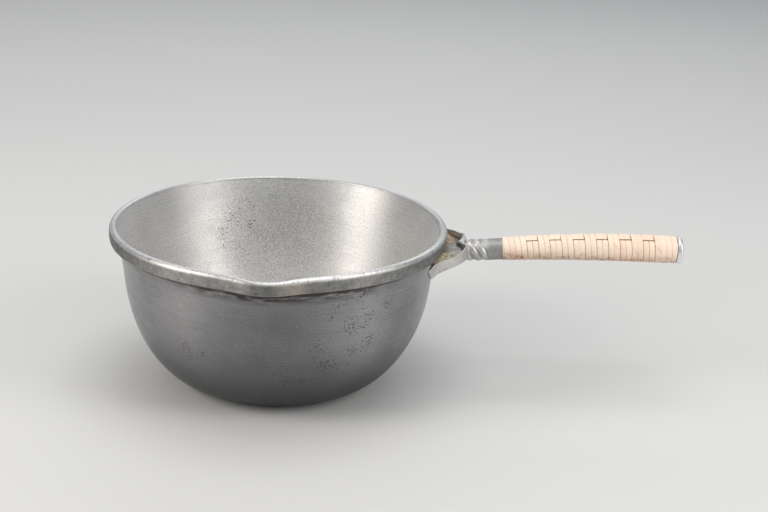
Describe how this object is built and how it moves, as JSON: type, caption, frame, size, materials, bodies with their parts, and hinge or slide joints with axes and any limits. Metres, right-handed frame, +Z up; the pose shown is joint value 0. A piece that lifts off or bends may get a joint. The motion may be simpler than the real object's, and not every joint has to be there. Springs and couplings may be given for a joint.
{
  "type": "pouring pan with cane-bound handle",
  "caption": "Deep round-bellied metal pan with a rolled rim, a pouring lip on its side, and a straight metal handle bound with flat cane.",
  "frame": {"origin": "centre of the bowl's flat base, on the surface it stands on", "axes": "+Z up out of the bowl's mouth, +X along the handle away from the bowl, the pouring lip at -Y"},
  "size_m": [0.3203, 0.1938, 0.0913],
  "materials": {
    "bowl_metal": "satin, turned, with dark pits, scratches and dull patches",
    "yoke_metal": "satin cast, polished on the ribs of the twist",
    "braze": "rough crust of filler metal and flux, olive to orange-tan",
    "rod_steel": "plain drawn rod",
    "core_wood": "bare turned beech",
    "runner_cane": "split cane, satin",
    "binding_cane": "split cane, satin, with brown specks",
    "cap_metal": "satin turned"
  },
  "bodies": {
    "root": {"bowl": "bowl_metal", "handle_yoke": "yoke_metal", "braze_front": "braze", "braze_rear": "braze", "tang_rod": "rod_steel", "grip_core": "core_wood", "cane_runner": "runner_cane", "cane_binding": "binding_cane", "end_cap": "cap_metal"}
  },
  "joints": []
}
